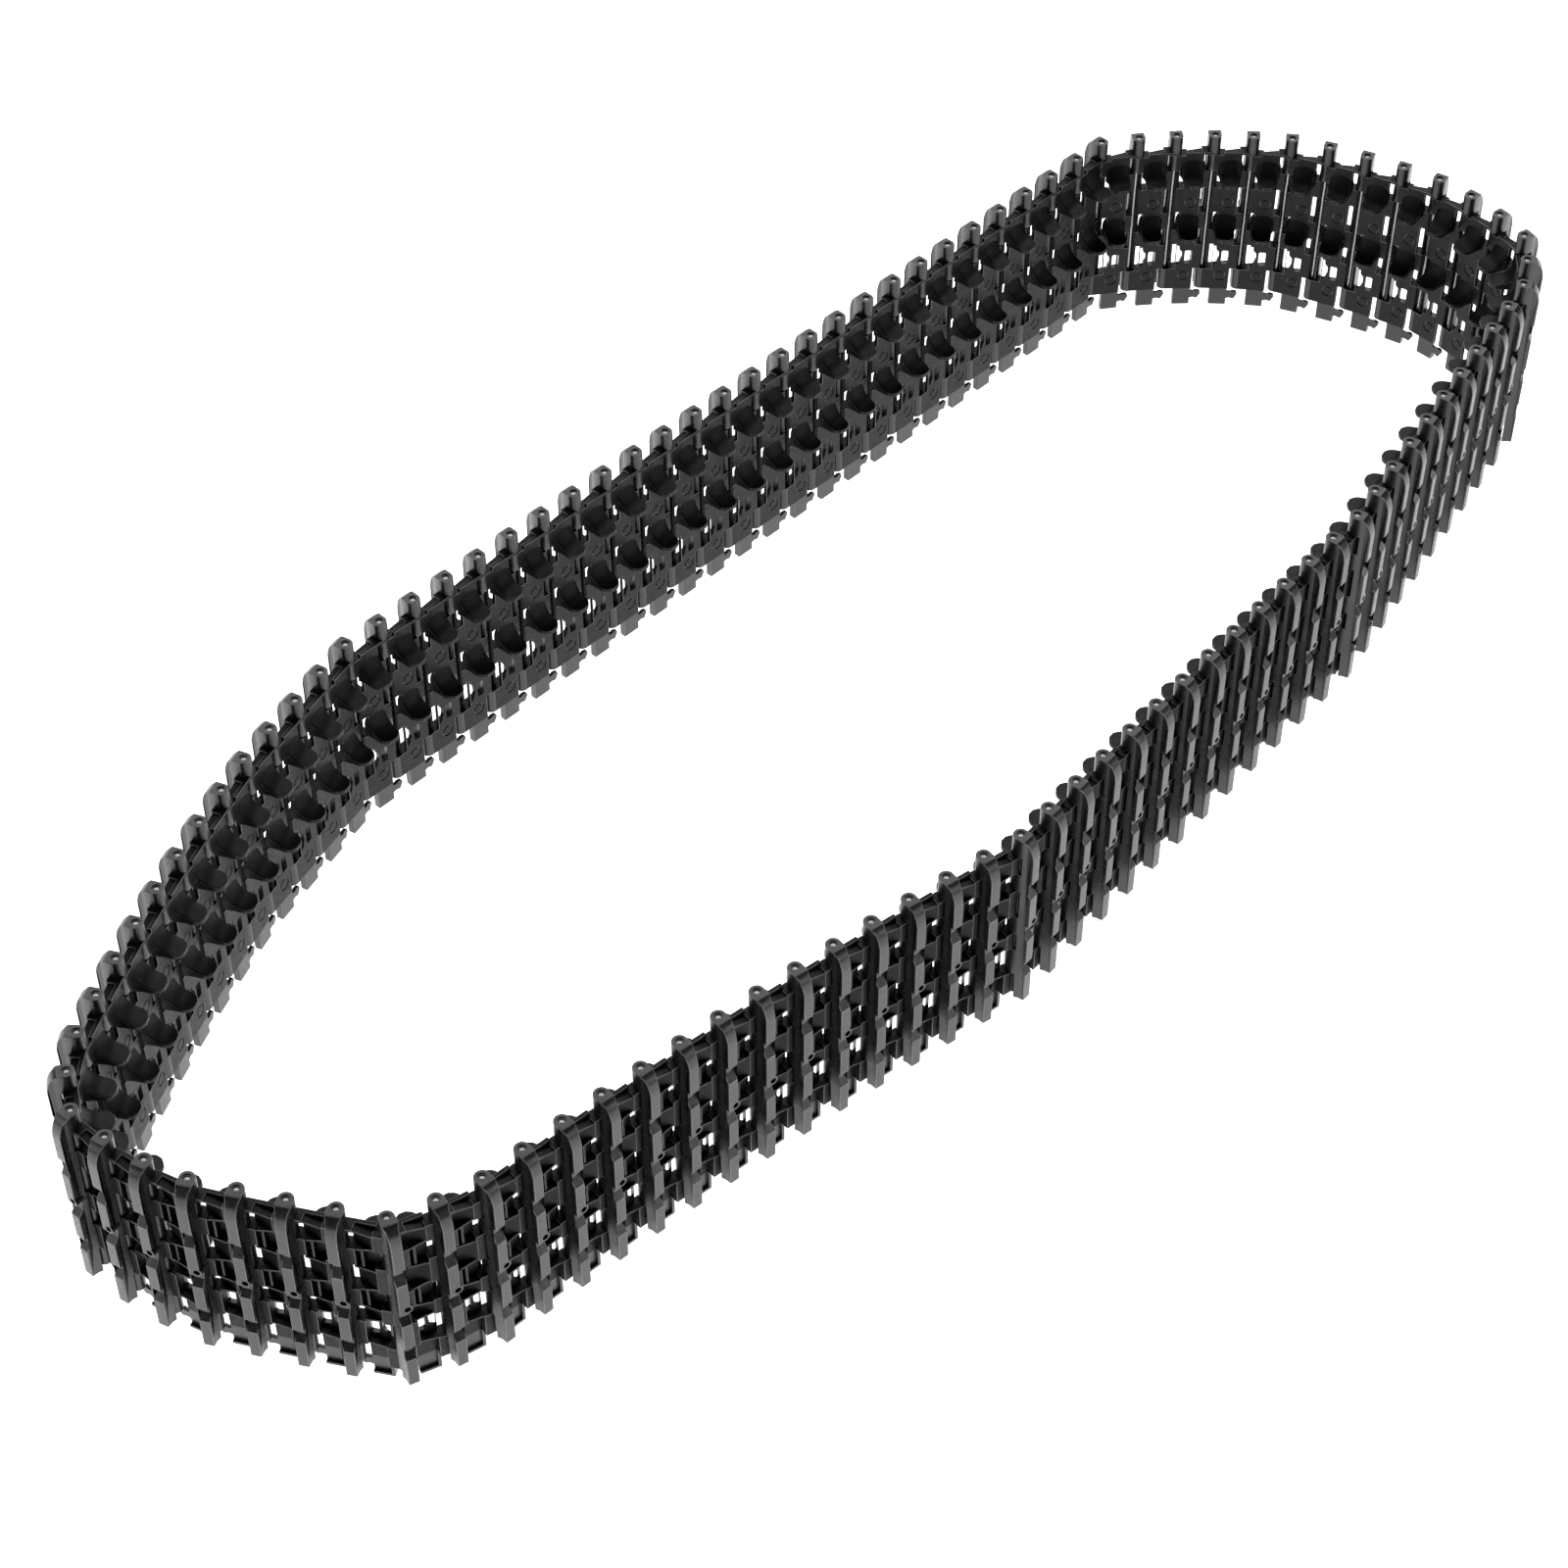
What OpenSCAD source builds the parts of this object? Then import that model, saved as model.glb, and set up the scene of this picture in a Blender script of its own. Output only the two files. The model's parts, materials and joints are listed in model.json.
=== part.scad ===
// Loop of moulded track links joined by hinge pins, lying on its outer edge.
// Each link has its own frame: x runs along the track from its start hinge to
// its forward hinge, y points out of the loop, z points up. "Depth" is the
// distance down from the top of the hinge boss.

/* [Track] */
// Hinge to hinge length of one link, mm
pitch = 8.125; // [8.1:0.025:8.2]
// Width of the track from boss top to tab edge, mm
track_w = 43.8; // [43.8:0.1:45.3]

/* [Hinge] */
// Radius of the hinge knuckles, mm
knuckle_r = 1.4; // [1.35:0.05:1.4]
// Diameter of the hinge pin, mm
pin_d = 1; // [0.9:0.05:1]
// Radial clearance of the pin in the knuckles, mm
pin_clear = 0.05; // [0.03:0.01:0.08]
// End gap between two neighbouring knuckles, mm
knuckle_gap = 0.1; // [0.1:0.02:0.2]
// Width of the open channel on the inner side, mm
channel_w = 1.1; // [1.05:0.01:1.3]

/* [Plate] */
// Thickness of the plate between the raised arms, mm
floor_t = 0.8; // [0.7:0.05:0.9]
// Slit between a plate edge and the knuckle beside it, mm
slit_w = 0.65; // [0.55:0.05:0.7]

/* [Grouser] */
// Height of the crest over the hinge axis, mm
crest_h = 3.65; // [3.5:0.05:3.8]
// Width of the crest, mm
crest_w = 1.9; // [1.8:0.1:2]
// Depth of the notches between the crest's four pads, mm
notch_h = 1.2; // [1:0.1:1.4]

/* [Guide horn] */
// Reach of the horn tip from the hinge axis, mm
horn_reach = 6.3; // [6:0.1:6.4]
// Radius of the horn tip, mm
horn_r = 1.55; // [1.45:0.05:1.6]
// Distance from the upper horn to the lower one, mm
horn_step = 14; // [13.9:0.1:14.1]

/* [Hidden] */
$fn = 40;
// Depths at which the knuckles change from one link to the other.
knuckle_cut = [0, 4.25, 8.35, 12.65, 19.15, 23.65, 27.65, 34.15, 39.65];
knuckle_count = len(knuckle_cut) - 1;
first_open = 2;
last_open = 6;
plate_top = 3.6;
plate_end = knuckle_cut[knuckle_count];
edge_x = knuckle_r + slit_w;
floor_y = floor_t - knuckle_r;
arm_y = 1.15;
over = 0.5;
pin_top = 0.4;
pin_end = plate_end - 0.7;
bore_end = plate_end - 0.6;

// Grouser: rounded shoulder at the top end as [y, depth], then the notches,
// each with a flat floor under the pad above and a slope up to the pad below.
shoulder = [[0, 0], [1.6, 0], [2.85, 1.2], [crest_h, 3.85]];
grouser_base = knuckle_r + 0.2;
grouser_end = 40.2;
notches = [[9.8, 13.6], [20.9, 24.2], [30.3, 33.6]];
notch_floor = 1.7;

// Guide horn: upper face from the plate to the tip as [reach, depth].
horn_top = plate_top;
horn_end = 10.55;
horn_x = 3.7;
horn_base = [1.1, 6.45];
horn_face = [[knuckle_r - 0.3, horn_top], [2.6, 6.4], [4.2, 8.1], [horn_reach + 0.1, 8.8]];

// Raised arms on the outer face, each widening and sloping down from its
// knuckle to the far edge of the plate.
arm_knuckles = [1, 3, 5];
arm_flare = 0.5;

// Windows through the plate as outlines of [x, depth].
windows = [
  [[2.05, 28], [2.75, 28], [3.4, 31.4], [2.05, 33.3]],
  [[4.5, 29.5], [5.4, 29.5], [5.4, 32.9], [4.5, 32.9]]
];

// Tab and hook below the plate.
tab_x = [2.15, 5.95];
tab_end = track_w;
tab_rim = 0.6;
hook_x = 7.6;
hook_end = 41.9;

// Course of the loop, clockwise: [links, heading of the first, turn per link].
runs = [
  [1, 55, 0], [1, 39, 0], [8, 28, -1.1], [4, 15, -0.3], [26, -1.5, 0],
  [5, -37.5, -4.4], [4, -69, -3.5], [3, -93.5, -7.5], [2, -142.5, -9.6],
  [10, -169, 0], [13, -178, 0.1], [14, -191.5, 0.5], [2, -196, -6.5],
  [4, -240, -0.9], [3, -254.5, -7]
];
planned = [for (r = runs) for (i = [0 : r[0] - 1]) r[1] + r[2] * i];
link_count = len(planned);

// Smallest change of all headings that brings the last hinge back to the first.
function total(v) = v * [for (x = v) 1];
function closed(h, rounds) = rounds == 0 ? h :
  let (
    s = [for (a = h) sin(a)],
    c = [for (a = h) cos(a)],
    ex = total(c),
    ey = total(s),
    ss = s * s,
    cc = c * c,
    sc = s * c,
    det = ss * cc - sc * sc,
    u = (cc * ex + sc * ey) / det,
    w = (sc * ex + ss * ey) / det
  )
  closed([for (i = [0 : len(h) - 1]) h[i] + (s[i] * u - c[i] * w) * 180 / PI], rounds - 1);
headings = closed(planned, 5);

function hinges(h, i = 0, at = [0, 0]) = i == len(h) ? [] :
  concat([at], hinges(h, i + 1, at + pitch * [cos(h[i]), sin(h[i])]));
raw_hinges = hinges(headings);

// The loop is centred on the outermost crest edges.
crest_ends = [for (i = [0 : link_count - 1]) for (side = [-1, 1])
  let (a = headings[i], along = pitch + side * crest_w / 2)
  raw_hinges[i] + along * [cos(a), sin(a)] + crest_h * [-sin(a), cos(a)]];
function column(v, k) = [for (p = v) p[k]];
function middle(v) = (min(v) + max(v)) / 2;
centre = [middle(column(crest_ends, 0)), middle(column(crest_ends, 1))];

// Links per rigid section; the sections meet at the joints.
section_links = [
  2, 2, 4, 4, 4, 4, 4, 4, 4, 4, 4, 2, 3, 2, 2,
  3, 2, 4, 4, 4, 4, 4, 4, 4, 4, 4, 3, 2, 2, 3
];
function first_link(n) = n == 0 ? 0 : first_link(n - 1) + section_links[n - 1];

// Box between two x, two y and two depths.
module slab(x, y, depth) {
  translate([x[0], y[0], track_w - depth[1]])
    cube([x[1] - x[0], y[1] - y[0], depth[1] - depth[0]]);
}

// Upright prism of a polygon in x and y between two depths.
module prism(points, depth) {
  translate([0, 0, track_w - depth[1]])
    linear_extrude(depth[1] - depth[0])
      polygon(points);
}

// Prism across the track of a polygon in y and depth.
module profile(points, x) {
  translate([x[0], 0, track_w])
    rotate([90, 0, 90])
      linear_extrude(x[1] - x[0])
        polygon([for (p = points) [p[0], -p[1]]]);
}

// Prism through the plate of a polygon in x and depth.
module panel(points, y) {
  translate([0, y[1], track_w])
    rotate([90, 0, 0])
      linear_extrude(y[1] - y[0])
        polygon([for (p = points) [p[0], -p[1]]]);
}

module round_bar(x, radius, depth) {
  translate([x, 0, track_w - depth[1]])
    cylinder(r = radius, h = depth[1] - depth[0]);
}

function knuckle_span(i) = [
  knuckle_cut[i] + (i == 0 ? 0 : knuckle_gap / 2),
  knuckle_cut[i + 1] - knuckle_gap / 2
];

// Knuckle and arm round the forward hinge: every other one from the top.
module forward_knuckle(i) {
  span = knuckle_span(i);
  round_bar(pitch, knuckle_r, span);
  slab([pitch - edge_x - over, pitch], [-knuckle_r, arm_y], [max(span[0], plate_top), span[1]]);
}

// Knuckle and arm round the start hinge, between the neighbour's knuckles.
module start_knuckle(i) {
  span = knuckle_span(i);
  round_bar(0, knuckle_r, span);
  slab([0, edge_x + over], [-knuckle_r, arm_y], span);
}

module hinge_cut(x, open) {
  round_bar(x, pin_d / 2 + pin_clear, [-over, bore_end]);
  for (i = open)
    slab([x - channel_w / 2, x + channel_w / 2], [-knuckle_r - over, 0],
         [knuckle_cut[i] - knuckle_gap, knuckle_cut[i + 1] + knuckle_gap]);
}

// Raised wedge that carries a start knuckle across the plate.
module arm(i) {
  span = knuckle_span(i);
  near = edge_x + over;
  far = pitch - edge_x;
  root = floor_y - floor_t / 2;
  intersection() {
    panel([[near, span[0]], [far, span[0] - arm_flare], [far, span[1] + arm_flare], [near, span[1]]],
          [root, arm_y]);
    prism([[near, root], [far, root], [far, floor_y], [near, arm_y]], [0, plate_end]);
  }
}

module plate() {
  slab([edge_x, pitch - edge_x], [-knuckle_r, floor_y], [plate_top, plate_end]);
  for (i = arm_knuckles)
    arm(i);
}

module grouser() {
  half = crest_w / 2;
  side = concat(shoulder, [[crest_h, grouser_end], [0, grouser_end]]);
  difference() {
    intersection() {
      profile(side, [pitch - knuckle_r, pitch + knuckle_r]);
      prism([[pitch - knuckle_r, 0], [pitch + knuckle_r, 0], [pitch + knuckle_r, grouser_base],
             [pitch + half, crest_h], [pitch - half, crest_h], [pitch - knuckle_r, grouser_base]],
            [0, grouser_end]);
    }
    for (n = notches)
      profile([[crest_h + over, n[0]], [crest_h - notch_h, n[0]], [crest_h - notch_h, n[0] + notch_floor],
               [crest_h, n[1]], [crest_h + over, n[1]]],
              [pitch - knuckle_r - over, pitch + knuckle_r + over]);
  }
}

// Room under the grouser for the next link's knuckles and arms.
module neighbour_cut(i) {
  span = [knuckle_cut[i] - knuckle_gap / 2, knuckle_cut[i + 1] + knuckle_gap / 2];
  deeper = i == knuckle_count - 1 ? [span[0], track_w] : span;
  slab([pitch - knuckle_r - over, pitch + knuckle_r + over], [-crest_h, grouser_base], deeper);
}

module horn(drop) {
  tip = -horn_reach + horn_r;
  face = [for (p = horn_face) [-p[0], p[1] + drop]];
  intersection() {
    union() {
      prism([[horn_base[0], -knuckle_r + floor_t / 2], [horn_x - horn_r, tip],
             [horn_x + horn_r, tip], [horn_base[1], -knuckle_r + floor_t / 2]],
            [horn_top + drop, horn_end + drop]);
      translate([horn_x, tip, track_w - horn_end - drop])
        cylinder(r = horn_r, h = horn_end - horn_top);
    }
    profile(concat([[0, horn_top + drop]], face, [[-horn_reach - 0.1, horn_end + drop], [0, horn_end + drop]]),
            [0, pitch]);
  }
}

module tab() {
  slab(tab_x, [-knuckle_r, floor_y], [plate_end - over, tab_end]);
  slab(tab_x, [-knuckle_r, 0], [tab_end - tab_rim, tab_end]);
  slab([tab_x[0], tab_x[0] + tab_rim], [-knuckle_r, 0], [plate_end, tab_end]);
  slab([tab_x[0], hook_x], [-knuckle_r, floor_y], [plate_end + knuckle_gap / 2, hook_end]);
}

module link() {
  difference() {
    union() {
      plate();
      for (i = [0 : 2 : knuckle_count - 1])
        forward_knuckle(i);
      for (i = [1 : 2 : knuckle_count - 1])
        start_knuckle(i);
      difference() {
        grouser();
        for (i = [1 : 2 : knuckle_count - 1])
          neighbour_cut(i);
      }
      horn(0);
      horn(horn_step);
      tab();
    }
    hinge_cut(pitch, [first_open, first_open + 2, last_open]);
    hinge_cut(0, [first_open + 1, last_open - 1]);
    for (w = windows)
      panel(w, [-knuckle_r - over, arm_y + over]);
  }
}

module pin() {
  round_bar(pitch, pin_d / 2, [pin_top, pin_end]);
}

module at_link(n) {
  spot = raw_hinges[n] - centre;
  translate([spot[0], spot[1], 0])
    rotate([0, 0, headings[n]])
      children();
}

module section_of_links(n) {
  start = first_link(n);
  color("#1c1c1e")
    for (i = [start : start + section_links[n] - 1])
      at_link(i)
        link();
}

module section_of_pins(n) {
  start = first_link(n);
  color("#b9bcc0")
    for (i = [start : start + section_links[n] - 1])
      at_link(i)
        pin();
}

section_of_links(0);  // links_01
section_of_links(1);  // links_02
section_of_links(2);  // links_03
section_of_links(3);  // links_04
section_of_links(4);  // links_05
section_of_links(5);  // links_06
section_of_links(6);  // links_07
section_of_links(7);  // links_08
section_of_links(8);  // links_09
section_of_links(9);  // links_10
section_of_links(10);  // links_11
section_of_links(11);  // links_12
section_of_links(12);  // links_13
section_of_links(13);  // links_14
section_of_links(14);  // links_15
section_of_links(15);  // links_16
section_of_links(16);  // links_17
section_of_links(17);  // links_18
section_of_links(18);  // links_19
section_of_links(19);  // links_20
section_of_links(20);  // links_21
section_of_links(21);  // links_22
section_of_links(22);  // links_23
section_of_links(23);  // links_24
section_of_links(24);  // links_25
section_of_links(25);  // links_26
section_of_links(26);  // links_27
section_of_links(27);  // links_28
section_of_links(28);  // links_29
section_of_links(29);  // links_30
section_of_pins(0);  // pins_01
section_of_pins(1);  // pins_02
section_of_pins(2);  // pins_03
section_of_pins(3);  // pins_04
section_of_pins(4);  // pins_05
section_of_pins(5);  // pins_06
section_of_pins(6);  // pins_07
section_of_pins(7);  // pins_08
section_of_pins(8);  // pins_09
section_of_pins(9);  // pins_10
section_of_pins(10);  // pins_11
section_of_pins(11);  // pins_12
section_of_pins(12);  // pins_13
section_of_pins(13);  // pins_14
section_of_pins(14);  // pins_15
section_of_pins(15);  // pins_16
section_of_pins(16);  // pins_17
section_of_pins(17);  // pins_18
section_of_pins(18);  // pins_19
section_of_pins(19);  // pins_20
section_of_pins(20);  // pins_21
section_of_pins(21);  // pins_22
section_of_pins(22);  // pins_23
section_of_pins(23);  // pins_24
section_of_pins(24);  // pins_25
section_of_pins(25);  // pins_26
section_of_pins(26);  // pins_27
section_of_pins(27);  // pins_28
section_of_pins(28);  // pins_29
section_of_pins(29);  // pins_30
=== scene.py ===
"""Looks of a model tank's track loop: one detailed link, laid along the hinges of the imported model."""

import json
from math import atan2, cos, pi, radians, sin

import bmesh
import bpy
from mathutils import Matrix, Vector

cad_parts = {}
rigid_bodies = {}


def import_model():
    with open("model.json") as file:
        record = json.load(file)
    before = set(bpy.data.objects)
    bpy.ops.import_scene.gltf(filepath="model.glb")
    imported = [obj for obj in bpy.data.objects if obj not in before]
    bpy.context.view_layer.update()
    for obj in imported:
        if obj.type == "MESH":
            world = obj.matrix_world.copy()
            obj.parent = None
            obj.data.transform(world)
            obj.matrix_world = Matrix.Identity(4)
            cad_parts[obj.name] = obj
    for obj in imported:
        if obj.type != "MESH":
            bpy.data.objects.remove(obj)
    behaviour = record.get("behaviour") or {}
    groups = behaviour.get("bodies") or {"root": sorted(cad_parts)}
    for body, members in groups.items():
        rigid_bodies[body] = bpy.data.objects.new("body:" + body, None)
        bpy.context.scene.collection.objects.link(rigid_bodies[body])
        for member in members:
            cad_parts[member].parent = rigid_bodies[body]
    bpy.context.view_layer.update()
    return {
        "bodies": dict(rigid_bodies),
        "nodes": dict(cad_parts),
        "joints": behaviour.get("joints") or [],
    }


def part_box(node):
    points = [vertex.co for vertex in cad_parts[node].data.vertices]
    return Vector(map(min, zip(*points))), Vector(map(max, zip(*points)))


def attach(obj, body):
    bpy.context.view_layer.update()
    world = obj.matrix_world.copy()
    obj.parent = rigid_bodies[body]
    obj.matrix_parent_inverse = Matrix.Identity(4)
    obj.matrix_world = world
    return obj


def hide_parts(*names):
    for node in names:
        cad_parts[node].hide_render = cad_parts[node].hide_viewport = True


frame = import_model()

MM = 0.001
LINKS_NODE = "links_{:02d}"
PINS_NODE = "pins_{:02d}"
SECTION = "section_{:02d}"
SECTIONS = len(frame["bodies"])


# ---------------------------------------------------------------- hinge line

def pin_centres(node):
    """Centre in X and Y of each separate pin in a CAD node."""
    apart = 2 * MM
    groups = []
    for vertex in frame["nodes"][node].data.vertices:
        spot = Vector(vertex.co.xy)
        near = [g for g in groups if (g[0] - spot).length < apart]
        if near:
            near[0].append(spot)
        else:
            groups.append([spot])
    return [
        Vector([(min(p[k] for p in g) + max(p[k] for p in g)) / 2 for k in range(2)])
        for g in groups
    ]


def link_places():
    """Per section, the (start hinge, forward hinge) of each of its links, along the track."""
    first = next(j for j in frame["joints"] if j["name"] == "pivot_01")
    at = Vector(first["pos_m"][:2])
    places = []
    for number in range(1, SECTIONS + 1):
        left = pin_centres(PINS_NODE.format(number))
        places.append([])
        while left:
            ahead = min(left, key=lambda p: (p - at).length)
            left.remove(ahead)
            places[-1].append((at, ahead))
            at = ahead
    return places


PLACES = link_places()
START, AHEAD = PLACES[0][1]
PITCH = (AHEAD - START).length / MM
TRACK_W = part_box(LINKS_NODE.format(1))[1].z / MM

# ---------------------------------------------------------------- sizes, mm
# The link's own frame: x from its start hinge to its forward hinge, y out of
# the loop, and depth down from the top of the hinge boss.

KNUCKLE_R = 1.4
KNUCKLE_GAP = 0.1
KNUCKLE_CUT = [0, 4.25, 8.35, 12.65, 19.15, 23.65, 27.65, 34.15, 39.65]
KNUCKLES = len(KNUCKLE_CUT) - 1
FORWARD_OPEN = (2, 4, 6)
START_OPEN = (3, 5)
BORE_R = 0.55
PIN_R = 0.5
PIN_TOP = 0.3
CHANNEL_W = 1.3
COUNTERBORE = (0.8, 0.18)

PLATE_TOP = 3.6
PLATE_END = KNUCKLE_CUT[-1]
BORE_END = PLATE_END - 0.6
PIN_END = PLATE_END - 0.7
FLOOR_T = 0.8
FLOOR_Y = FLOOR_T - KNUCKLE_R
EDGE_X = 2.05
FAR_X = PITCH - EDGE_X
ARM_Y = 1.15
ARM_FLAT = 2.5
ARM_PROUD = 0.02
RIB_T = 0.4
RIB_TOP = 1.05
RIB_FALL = 0.15
# Each rib's ends as (x, depth). The first three pairs are the sides of the arms.
RIBS = (
    ((EDGE_X, 4.9), (FAR_X, 4.1)),
    ((EDGE_X, 7.9), (FAR_X, 9.0)),
    ((EDGE_X, 14.0), (FAR_X, 13.3)),
    ((EDGE_X, 18.5), (FAR_X, 19.4)),
    ((EDGE_X, 24.5), (FAR_X, 23.6)),
    ((EDGE_X, 27.0), (FAR_X, 27.6)),
    ((EDGE_X, 34.3), (FAR_X, 33.6)),
)
POST_X = 4.6
POST_TOP = 0.75
POSTS = ((8.5, 13.2), (19.0, 23.6))
# Windows through the plate, as outlines of (x, depth).
WINDOWS = (
    ((2.15, 28), (2.65, 28), (2.75, 29), (3.4, 29.7), (3.45, 31.2), (3.1, 31.9), (3, 32.6), (2.2, 33.2)),
    ((4.0, 29.5), (4.2, 29.3), (5.3, 29.3), (5.5, 29.5), (5.5, 32.6), (5.3, 32.8), (4.2, 32.8), (4.0, 32.6)),
)
# Ejector rings: centres as (x, depth), inner and outer radius, depth of the groove.
RINGS = ((4.05, 16.6), (4.05, 36.0))
RING_R = (1.0, 1.3)
RING_CUT = 0.2

CREST_H = 3.65
CREST_W = 1.9
CREST_LEAN = 0.12
CREST_WAIST = 2.4
CREST_END = 40.2
CREST_BASE = KNUCKLE_R + 0.2
# Top end of the grouser as (y, depth).
SHOULDER = ((1.6, 0), (2.2, 0.45), (2.75, 1.05), (3.15, 1.8), (3.45, 2.7), (CREST_H, 3.85))
# Each notch has a flat floor under the pad above, then a slope up to the pad below.
NOTCHES = ((9.8, 13.6), (20.9, 24.2), (30.3, 33.6))
NOTCH_FLOOR = 1.9
NOTCH_H = 1.2
# Stud on the crest: x from the hinge, depth, its radius, and the radius of its hole.
STUD_X, STUD_DEPTH, STUD_R, STUD_HOLE_R = -0.45, 20.0, 0.95, 0.58

HORN_X = 3.8
HORN_STEP = 14
HORN_REACH = (KNUCKLE_R - 0.3, 6.3)
HORN_HALF = 2.15
HORN_FLARE = 0.5
HORN_FLARE_POWER = 6
HORN_ROUND = 4.0
HORN_ROUND_POWER = 2.4
HORN_TIP_HALF = 0.12
HORN_CROWN = 0.4
HORN_CROWD = 1.6
HORN_RIM = 8.95
HORN_END = 9.65
HORN_RIDGE = (4.6, 8.8)
HORN_CURVE = 3.4
HORN_STEPS = 22
HORN_ARCH = 12

TAB_X = (2.15, 5.95)
TAB_RIM = 0.6
HOOK = (
    (5.5, 40.3), (6.6, 40.5), (7.3, 40.25), (8.1, 40.4), (8.3, 41.0), (7.6, 42.3), (6.6, 42.0), (5.5, 42.3),
)

BEVEL = 0.12
RIB_BEVEL = 0.09
HORN_BEVEL = 0.1
CREST_BEVEL = 0.15
PIN_BEVEL = 0.14
OVER = 0.5
ARM_STEPS = 8
SMALL_POINTS = 24

# Which of a link's materials a face has. The third is painted shade: a darker, duller plastic on the
# recessed and shaded faces.
# The rubbed finish is paler: partly wear on the edges, partly painted highlight along them.
SATIN, RUBBED_AND_HIGHLIGHT, PAINTED_SHADE = range(3)


# ---------------------------------------------------------------- solids

def finish_solid(bm, bevel, sharp=radians(30)):
    """Round the sharp edges of a closed bmesh and return it as an object."""
    bmesh.ops.recalc_face_normals(bm, faces=bm.faces)
    if bevel:
        edges = [e for e in bm.edges if e.calc_face_angle(0) > sharp]
        rounded = bmesh.ops.bevel(bm, geom=edges, offset=bevel, segments=2, profile=0.5,
                                  affect="EDGES", clamp_overlap=True)
        # The rounded faces get the paler finish: wear, and painted highlight along the edges.
        for face in rounded["faces"]:
            face.material_index = RUBBED_AND_HIGHLIGHT
    mesh = bpy.data.meshes.new("solid")
    bm.to_mesh(mesh)
    bm.free()
    for _ in (SATIN, RUBBED_AND_HIGHLIGHT, PAINTED_SHADE):
        mesh.materials.append(None)
    solid = bpy.data.objects.new("solid", mesh)
    bpy.context.scene.collection.objects.link(solid)
    return solid


def loft(sections, bevel=BEVEL):
    """Closed solid through sections that each hold the same number of (x, y, depth) points."""
    bm = bmesh.new()
    rings = [[bm.verts.new((x, y, TRACK_W - depth)) for x, y, depth in s] for s in sections]
    for low, high in zip(rings, rings[1:]):
        for k in range(len(low)):
            nxt = (k + 1) % len(low)
            bm.faces.new((low[k], low[nxt], high[nxt], high[k]))
    bm.faces.new(rings[0])
    bm.faces.new(rings[-1])
    return finish_solid(bm, bevel)


def upright(outline, depths, bevel=BEVEL):
    """Prism of an outline in x and y between two depths."""
    return loft([[(x, y, d) for x, y in outline] for d in depths], bevel)


def across(outline, xs, bevel=BEVEL):
    """Prism of an outline in y and depth between two x."""
    return loft([[(x, y, d) for y, d in outline] for x in xs], bevel)


def through(outline, ys, bevel=BEVEL):
    """Prism of an outline in x and depth between two y."""
    return loft([[(x, y, d) for x, d in outline] for y in ys], bevel)


def block(xs, ys, depths, bevel=BEVEL):
    corners = [(xs[0], ys[0]), (xs[1], ys[0]), (xs[1], ys[1]), (xs[0], ys[1])]
    return upright(corners, depths, bevel)


def circle(x, y, radius, points=32):
    turns = [2 * pi * k / points for k in range(points)]
    return [(x + radius * cos(t), y + radius * sin(t)) for t in turns]


def rod(x, radius, depths, bevel=BEVEL):
    return upright(circle(x, 0, radius), depths, bevel)


def combine(base, operation, others):
    """Apply one exact boolean with each of the other solids, which are used up."""
    for other in others:
        step = base.modifiers.new("join", "BOOLEAN")
        step.operation = operation
        step.solver = "MANIFOLD"
        step.object = other
    bpy.context.view_layer.update()
    done = base.evaluated_get(bpy.context.evaluated_depsgraph_get())
    mesh = bpy.data.meshes.new_from_object(done)
    for spent in [base, *others]:
        bpy.data.objects.remove(spent)
    solid = bpy.data.objects.new("solid", mesh)
    bpy.context.scene.collection.objects.link(solid)
    return solid


def dulled(solid):
    """Give the solid's flat faces the darker, duller finish that paints in shade, and leave its rounded
    edges with the paler finish of wear and painted highlight.
    """
    for face in solid.data.polygons:
        if face.material_index == SATIN:
            face.material_index = PAINTED_SHADE
    return solid


# ---------------------------------------------------------------- parts of a link

def span(i):
    """Depths at which knuckle i starts and ends."""
    top = KNUCKLE_CUT[i] + (KNUCKLE_GAP / 2 if i else 0)
    return top, KNUCKLE_CUT[i + 1] - KNUCKLE_GAP / 2


def knuckles():
    """Tubes round both hinges, with the short arms that carry them."""
    parts = []
    for i in range(KNUCKLES):
        top, end = span(i)
        if i % 2 == 0:
            parts.append(rod(PITCH, KNUCKLE_R, (top, end)))
            xs = (FAR_X - OVER, PITCH)
        else:
            parts.append(rod(0, KNUCKLE_R, (top, end)))
            xs = (0, EDGE_X + OVER)
        parts.append(dulled(block(xs, (-KNUCKLE_R, ARM_Y), (max(top, PLATE_TOP), end))))
    return parts


def arm_height(x):
    """Outer face of an arm: flat beside the knuckle, then a hollow slope to the plate."""
    t = max(0, (x - ARM_FLAT) / (FAR_X - ARM_FLAT))
    return FLOOR_Y + (ARM_Y - FLOOR_Y) * (1 - t) ** 2


def arm(upper, lower):
    """Hollow sloping web between two ribs."""
    root = FLOOR_Y - FLOOR_T / 2
    sections = []
    for k in range(ARM_STEPS + 1):
        share = k / ARM_STEPS
        x = EDGE_X + (FAR_X - EDGE_X) * share
        top = upper[0][1] + (upper[1][1] - upper[0][1]) * share
        end = lower[0][1] + (lower[1][1] - lower[0][1]) * share
        high = arm_height(x) + ARM_PROUD
        sections.append([(x, root, top), (x, high, top), (x, high, end), (x, root, end)])
    return dulled(loft(sections, 0))


def rib(ends):
    """Thin raised bar between two points on the plate, lower at its far end."""
    (x1, d1), (x2, d2) = ends
    half = RIB_T / 2
    low = FLOOR_Y - FLOOR_T / 2
    ends_of_rib = [
        [(x, low, d - half), (x, top, d - half), (x, top, d + half), (x, low, d + half)]
        for x, d, top in ((x1, d1, RIB_TOP), (x2, d2, RIB_TOP - RIB_FALL))
    ]
    return dulled(loft(ends_of_rib, RIB_BEVEL))


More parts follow.
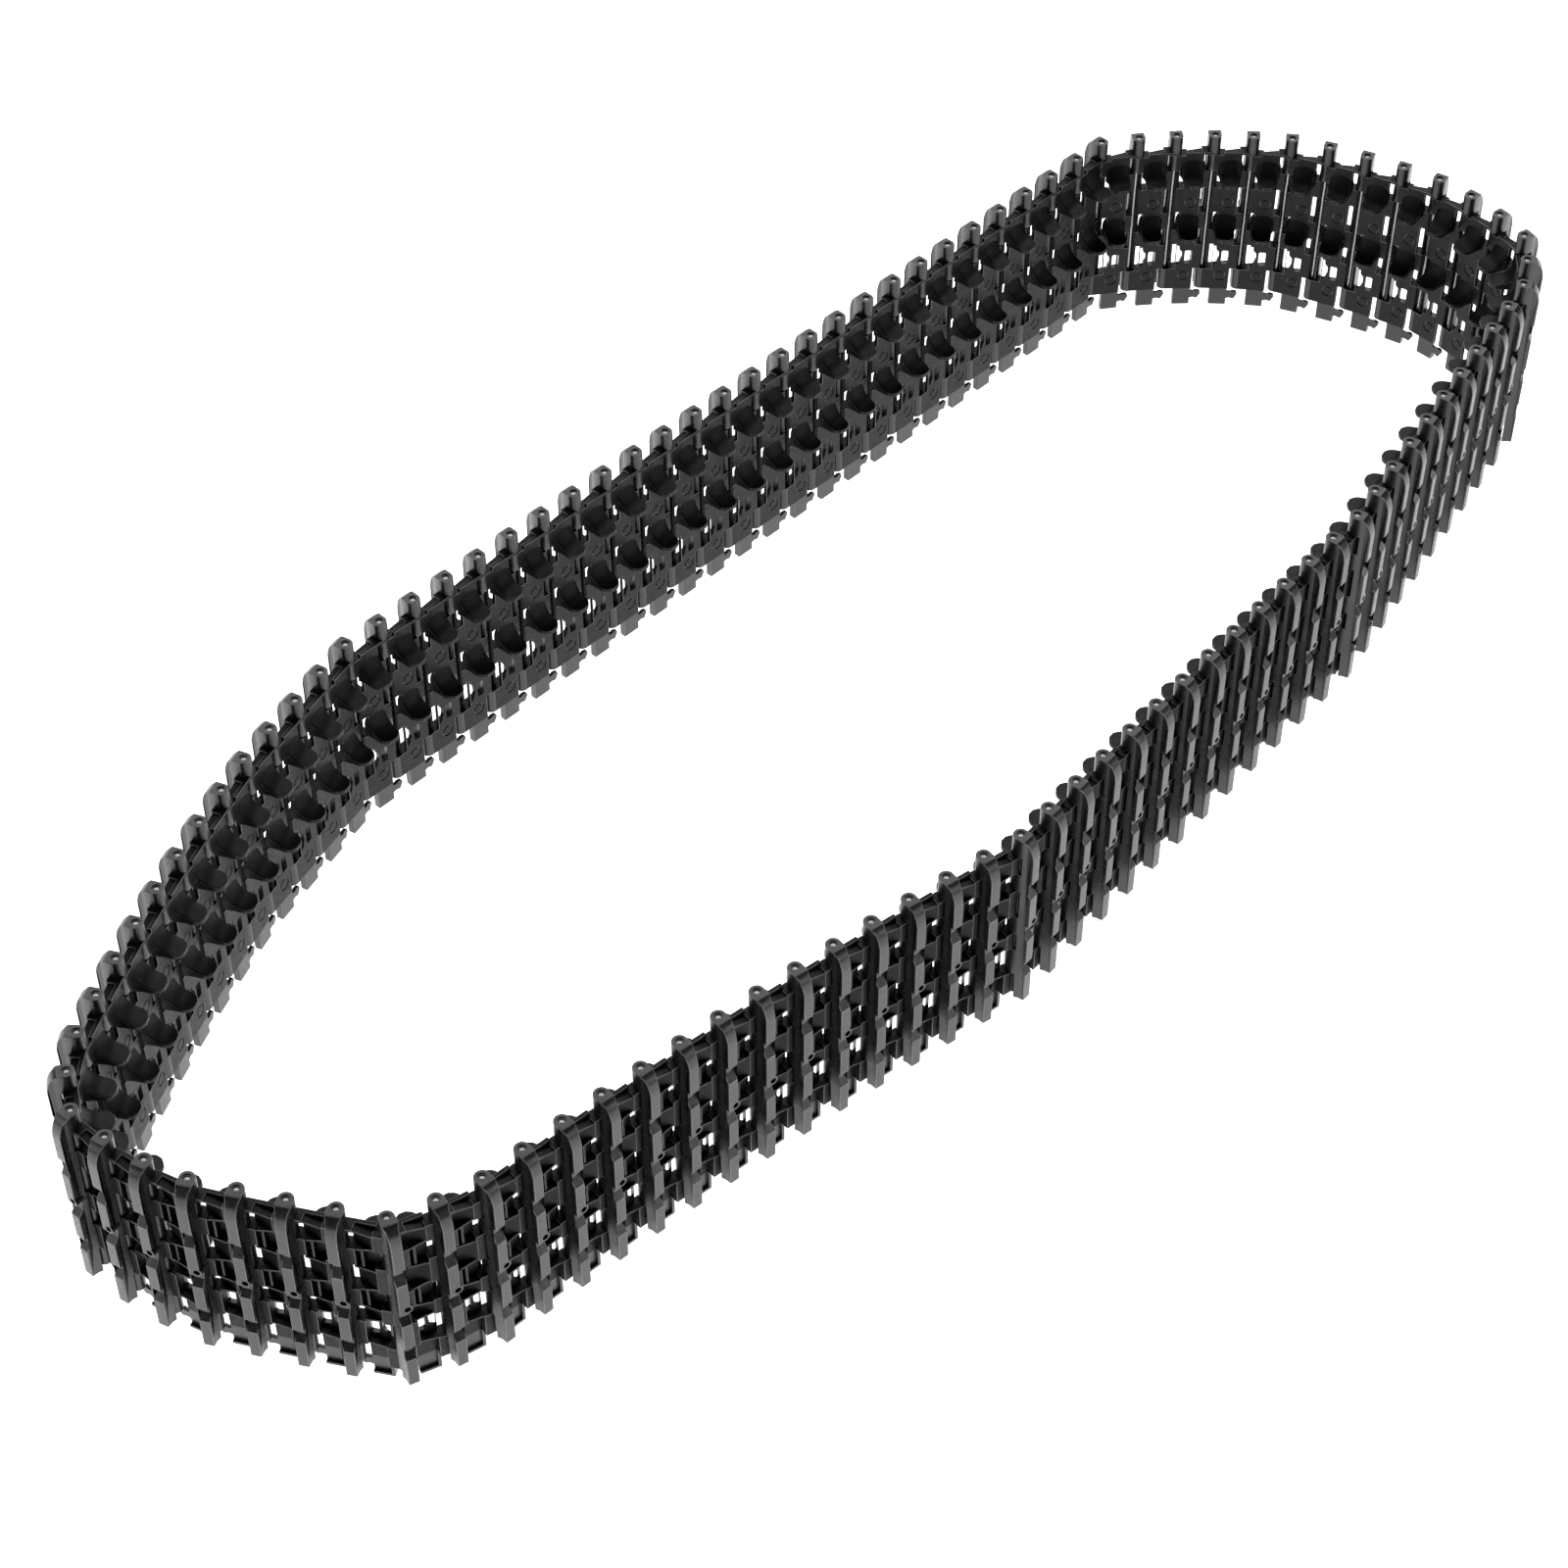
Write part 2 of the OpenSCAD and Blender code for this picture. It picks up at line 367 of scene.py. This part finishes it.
def plate():
    """Thin floor of the link, with its arms, ribs and posts."""
    parts = [dulled(block((EDGE_X, FAR_X), (-KNUCKLE_R, FLOOR_Y), (PLATE_TOP, PLATE_END)))]
    parts += [arm(upper, lower) for upper, lower in zip(RIBS[::2], RIBS[1::2])]
    parts += [rib(r) for r in RIBS]
    post = (POST_X - RIB_T / 2, POST_X + RIB_T / 2)
    parts += [dulled(block(post, (FLOOR_Y - OVER / 2, POST_TOP), p, RIB_BEVEL)) for p in POSTS]
    return parts


def grouser():
    """Bar over the forward hinge, with its rounded shoulder and four pads."""
    half = CREST_W / 2
    section = [
        (PITCH - KNUCKLE_R, 0), (PITCH + KNUCKLE_R, 0), (PITCH + KNUCKLE_R, CREST_BASE),
        (PITCH + half + CREST_LEAN, CREST_WAIST), (PITCH + half, CREST_H),
        (PITCH - half, CREST_H), (PITCH - half - CREST_LEAN, CREST_WAIST),
        (PITCH - KNUCKLE_R, CREST_BASE),
    ]
    wide = (PITCH - KNUCKLE_R - OVER, PITCH + KNUCKLE_R + OVER)
    side = [(0, 0), *SHOULDER, (CREST_H, CREST_END), (0, CREST_END)]
    bar = combine(upright(section, (0, CREST_END), 0), "INTERSECT", [across(side, wide, 0)])
    floor = CREST_H - NOTCH_H
    cuts = [
        across([(CREST_H + OVER, a), (floor, a), (floor, a + NOTCH_FLOOR),
                (CREST_H, b), (CREST_H + OVER, b)], wide, 0)
        for a, b in NOTCHES
    ]
    for i in range(1, KNUCKLES, 2):
        end = TRACK_W if i == KNUCKLES - 1 else KNUCKLE_CUT[i + 1] + KNUCKLE_GAP / 2
        cuts.append(block(wide, (-CREST_H, CREST_BASE), (KNUCKLE_CUT[i] - KNUCKLE_GAP / 2, end), 0))
    bar = combine(bar, "DIFFERENCE", cuts)
    bm = bmesh.new()
    bm.from_mesh(bar.data)
    bmesh.ops.dissolve_limit(bm, angle_limit=radians(1), verts=bm.verts, edges=bm.edges)
    bpy.data.objects.remove(bar)
    return finish_solid(bm, CREST_BEVEL)


def stud(radius, ys):
    """Disc on the crest above the second notch, between two y."""
    return through(circle(PITCH + STUD_X, STUD_DEPTH, radius, SMALL_POINTS), ys, 0)


def horn(drop):
    """Domed tongue with a thin rim, whose ridge sweeps down from the plate to a broad tip."""
    root, tip = HORN_REACH
    sections = []
    for k in range(HORN_STEPS + 1):
        reach = root + (tip - root) * (1 - (1 - k / HORN_STEPS) ** HORN_CROWD)
        share = (reach - root) / (tip - root)
        half = HORN_HALF + HORN_FLARE * (1 - share) ** HORN_FLARE_POWER
        if reach > HORN_ROUND:
            rounding = ((reach - HORN_ROUND) / (tip - HORN_ROUND)) ** HORN_ROUND_POWER
            half *= max(HORN_TIP_HALF, 1 - rounding) ** 0.5
        ridge = HORN_RIDGE[1] - (HORN_RIDGE[1] - HORN_RIDGE[0]) * (1 - share) ** HORN_CURVE
        section = [(HORN_X + half, -reach, HORN_END + drop)]
        for j in range(HORN_ARCH + 1):
            turn = pi * j / HORN_ARCH
            depth = HORN_RIM - (HORN_RIM - ridge) * sin(turn) ** HORN_CROWN
            section.append((HORN_X + half * cos(turn), -reach, depth + drop))
        section.append((HORN_X - half, -reach, HORN_END + drop))
        sections.append(section)
    return dulled(loft(sections, HORN_BEVEL))


def tab():
    """Tab below the plate, with a raised rim on two sides and a hook."""
    low = (-KNUCKLE_R, FLOOR_Y)
    return [
        block(TAB_X, low, (PLATE_END - OVER, TRACK_W)),
        block(TAB_X, (-KNUCKLE_R, 0), (TRACK_W - TAB_RIM, TRACK_W)),
        block((TAB_X[0], TAB_X[0] + TAB_RIM), (-KNUCKLE_R, 0), (PLATE_END - OVER, TRACK_W)),
        through(HOOK, low),
    ]


def hinge_cuts(x, opened):
    """Bore of the hinge at x, and channels that open some knuckles to the inner side."""
    half = CHANNEL_W / 2
    cuts = [rod(x, BORE_R, (-OVER, BORE_END), 0)]
    for i in opened:
        depths = (KNUCKLE_CUT[i] - KNUCKLE_GAP, KNUCKLE_CUT[i + 1] + KNUCKLE_GAP)
        cuts.append(block((x - half, x + half), (-KNUCKLE_R - OVER, 0), depths, 0))
    return cuts


def ring_cuts():
    """Round grooves that the mould's ejector pins leave on the inner face."""
    cuts = []
    for x, depth in RINGS:
        ys = (-KNUCKLE_R - OVER, -KNUCKLE_R + RING_CUT)
        disc = through(circle(x, depth, RING_R[1]), ys, 0)
        core = through(circle(x, depth, RING_R[0]), (ys[0] - OVER, ys[1] + OVER), 0)
        cuts.append(combine(disc, "DIFFERENCE", [core]))
    return cuts


def link_mesh():
    """One whole link as a closed mesh in metres, in its own frame."""
    parts = knuckles() + plate() + tab()
    parts += [grouser(), horn(0), horn(HORN_STEP)]
    parts.append(stud(STUD_R, (CREST_BASE, CREST_H)))
    body = combine(parts[0], "UNION", parts[1:])
    cuts = hinge_cuts(PITCH, FORWARD_OPEN) + hinge_cuts(0, START_OPEN) + ring_cuts()
    cuts.append(rod(PITCH, COUNTERBORE[0], (-OVER, COUNTERBORE[1]), 0))
    cuts.append(stud(STUD_HOLE_R, (CREST_H - OVER, CREST_H + OVER)))
    cuts += [through(w, (-KNUCKLE_R - OVER, ARM_Y + OVER), 0) for w in WINDOWS]
    body = combine(body, "DIFFERENCE", cuts)
    mesh = body.data
    bpy.data.objects.remove(body)
    mesh.transform(Matrix.Scale(MM, 4))
    return mesh


def pin_mesh():
    """Hinge pin with rounded ends, standing on the origin of X and Y."""
    pin = upright(circle(0, 0, PIN_R, SMALL_POINTS), (PIN_TOP, PIN_END), PIN_BEVEL)
    mesh = pin.data
    bpy.data.objects.remove(pin)
    mesh.transform(Matrix.Scale(MM, 4))
    return mesh


# ---------------------------------------------------------------- materials

def node_tree(name):
    material = bpy.data.materials.new(name)
    material.use_nodes = True
    tree = material.node_tree
    shader = tree.nodes["Principled BSDF"]
    return material, tree, shader


def noise(tree, scale, detail):
    place = tree.nodes.new("ShaderNodeTexCoord")
    texture = tree.nodes.new("ShaderNodeTexNoise")
    texture.inputs["Scale"].default_value = scale
    texture.inputs["Detail"].default_value = detail
    tree.links.new(place.outputs["Object"], texture.inputs["Vector"])
    return texture.outputs["Fac"]


def spread(tree, value, low, high, start=0.3, end=0.7):
    """The value's stretch from start to end, mapped to low and high."""
    node = tree.nodes.new("ShaderNodeMapRange")
    tree.links.new(value, node.inputs["Value"])
    for name, number in (("From Min", start), ("From Max", end), ("To Min", low), ("To Max", high)):
        node.inputs[name].default_value = number
    return node.outputs["Result"]


def blend_colours(tree, share, first, second):
    node = tree.nodes.new("ShaderNodeMix")
    node.data_type = "RGBA"
    tree.links.new(share, node.inputs["Factor"])
    for socket, colour in ((node.inputs[6], first), (node.inputs[7], second)):
        if isinstance(colour, tuple):
            socket.default_value = (*colour, 1)
        else:
            tree.links.new(colour, socket)
    return node.outputs[2]


def bumps(tree, shader, height, distance, strength):
    node = tree.nodes.new("ShaderNodeBump")
    node.inputs["Distance"].default_value = distance
    node.inputs["Strength"].default_value = strength
    tree.links.new(height, node.inputs["Height"])
    tree.links.new(node.outputs["Normal"], shader.inputs["Normal"])


def plastic(name, dark, pale, rough, specular):
    """Black moulded plastic: cloudy flow marks between two shades, and a fine grain."""
    material, tree, shader = node_tree(name)
    clouds = noise(tree, 160, 4)
    grain = noise(tree, 5200, 3)
    streaks = noise(tree, 900, 5)
    shade = blend_colours(tree, spread(tree, clouds, 0, 1), (dark, dark, dark), (pale, pale, pale))
    tree.links.new(shade, shader.inputs["Base Color"])
    tree.links.new(spread(tree, streaks, *rough), shader.inputs["Roughness"])
    shader.inputs["Specular IOR Level"].default_value = specular
    bumps(tree, shader, grain, 0.00003, 0.3)
    return material


def link_finishes():
    """The materials of a link, in the order of the finish numbers."""
    return [
        plastic("satin_plastic", 0.006, 0.014, (0.24, 0.36), 0.6),
        # Paler: wear on the rounded edges, and painted highlight along them.
        plastic("rubbed_highlight_plastic", 0.07, 0.13, (0.3, 0.45), 0.7),
        # Darker and duller than the satin plastic: painted shade for the recessed and shaded faces.
        plastic("painted_shade_plastic", 0.003, 0.006, (0.42, 0.55), 0.22),
    ]


def steel():
    """Drawn steel wire with fine marks along its length."""
    material, tree, shader = node_tree("steel_wire")
    marks = noise(tree, 1400, 6)
    grain = noise(tree, 6000, 2)
    colour = blend_colours(tree, spread(tree, marks, 0, 1), (0.22, 0.22, 0.23), (0.36, 0.36, 0.37))
    tree.links.new(colour, shader.inputs["Base Color"])
    tree.links.new(spread(tree, marks, 0.22, 0.4), shader.inputs["Roughness"])
    shader.inputs["Metallic"].default_value = 1
    bumps(tree, shader, grain, 0.00001, 0.3)
    return material


def matt(name, colour, rough):
    """Plain matt surface with a faint cloudiness."""
    material, tree, shader = node_tree(name)
    darker = tuple(0.985 * c for c in colour)
    shade = blend_colours(tree, spread(tree, noise(tree, 3, 2), 0, 1), colour, darker)
    tree.links.new(shade, shader.inputs["Base Color"])
    shader.inputs["Roughness"].default_value = rough
    return material


def light_table():
    """Pale opal floor that glows, which washes out the shadows on it."""
    material = matt("pale_floor", (0.9, 0.9, 0.9), 0.9)
    shader = material.node_tree.nodes["Principled BSDF"]
    shader.inputs["Emission Color"].default_value = (1, 1, 1, 1)
    shader.inputs["Emission Strength"].default_value = 1.5
    return material


# ---------------------------------------------------------------- pieces

def smooth(obj):
    """Smooth shading with crisp edges, and flat faces that stay flat."""
    obj.data.shade_smooth()
    obj.data.set_sharp_from_angle(angle=radians(28))
    weighted = obj.modifiers.new("weighted_normals", "WEIGHTED_NORMAL")
    weighted.keep_sharp = True


def laid(name, mesh, transforms, materials):
    """Copies of a mesh at each transform, joined into one object."""
    bm = bmesh.new()
    for transform in transforms:
        copy = mesh.copy()
        copy.transform(transform)
        bm.from_mesh(copy)
        bpy.data.meshes.remove(copy)
    joined = bpy.data.meshes.new(name)
    bm.to_mesh(joined)
    bm.free()
    for material in materials:
        joined.materials.append(material)
    obj = bpy.data.objects.new(name, joined)
    bpy.context.scene.collection.objects.link(obj)
    return obj


def at_link(start, ahead):
    """Transform from a link's own frame to its place between two hinges."""
    run = ahead - start
    return Matrix.Translation((start.x, start.y, 0)) @ Matrix.Rotation(atan2(run.y, run.x), 4, "Z")


def build_track():
    link, pin = link_mesh(), pin_mesh()
    finishes, wire = link_finishes(), steel()
    for number, places in enumerate(PLACES, 1):
        links = laid(f"track_links_{number:02d}", link, [at_link(*p) for p in places], finishes)
        smooth(links)
        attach(links, SECTION.format(number))
        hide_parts(LINKS_NODE.format(number))
        ends = [Matrix.Translation((a.x, a.y, 0)) for _, a in places]
        pins = laid(f"hinge_pins_{number:02d}", pin, ends, [wire])
        smooth(pins)
        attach(pins, SECTION.format(number))
        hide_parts(PINS_NODE.format(number))


# ---------------------------------------------------------------- stage

VIEW_HEADING = atan2(0.669, 0.743)
VIEW_DOWN = radians(46.05)
LENS = 78.5
CAMERA_AT = Vector((-0.3507, -0.2961, 0.4685))


def add_camera():
    data = bpy.data.cameras.new("camera")
    data.lens = LENS
    data.sensor_width = 36
    camera = bpy.data.objects.new("camera", data)
    camera.location = CAMERA_AT
    camera.rotation_euler = (pi / 2 - VIEW_DOWN, 0, VIEW_HEADING - pi / 2)
    bpy.context.scene.collection.objects.link(camera)
    bpy.context.scene.camera = camera


def add_light(name, azimuth, elevation, distance, size, watts):
    """Soft box that looks at the loop; azimuth is measured from the camera's own heading."""
    data = bpy.data.lights.new(name, "AREA")
    data.shape = "RECTANGLE"
    data.size, data.size_y = size
    data.energy = watts
    heading = VIEW_HEADING + azimuth
    away = Vector((cos(heading) * cos(elevation), sin(heading) * cos(elevation), sin(elevation)))
    light = bpy.data.objects.new(name, data)
    light.location = away * distance
    light.rotation_euler = away.to_track_quat("Z", "Y").to_euler()
    bpy.context.scene.collection.objects.link(light)


def add_stage():
    bm = bmesh.new()
    bmesh.ops.create_grid(bm, x_segments=1, y_segments=1, size=4)
    mesh = bpy.data.meshes.new("floor")
    bm.to_mesh(mesh)
    bm.free()
    mesh.materials.append(light_table())
    floor = bpy.data.objects.new("floor", mesh)
    bpy.context.scene.collection.objects.link(floor)
    world = bpy.data.worlds.new("studio")
    world.use_nodes = True
    world.node_tree.nodes["Background"].inputs["Color"].default_value = (0.07, 0.07, 0.07, 1)
    bpy.context.scene.world = world
    bpy.context.scene.view_settings.view_transform = "Standard"
    add_light("back_box", 0, radians(46), distance=1.7, size=(3.0, 1.4), watts=26)
    for name, side in (("left_box", 1), ("right_box", -1)):
        add_light(name, side * radians(110), radians(20), distance=1.6, size=(1.2, 0.5), watts=4)


build_track()
add_stage()
add_camera()
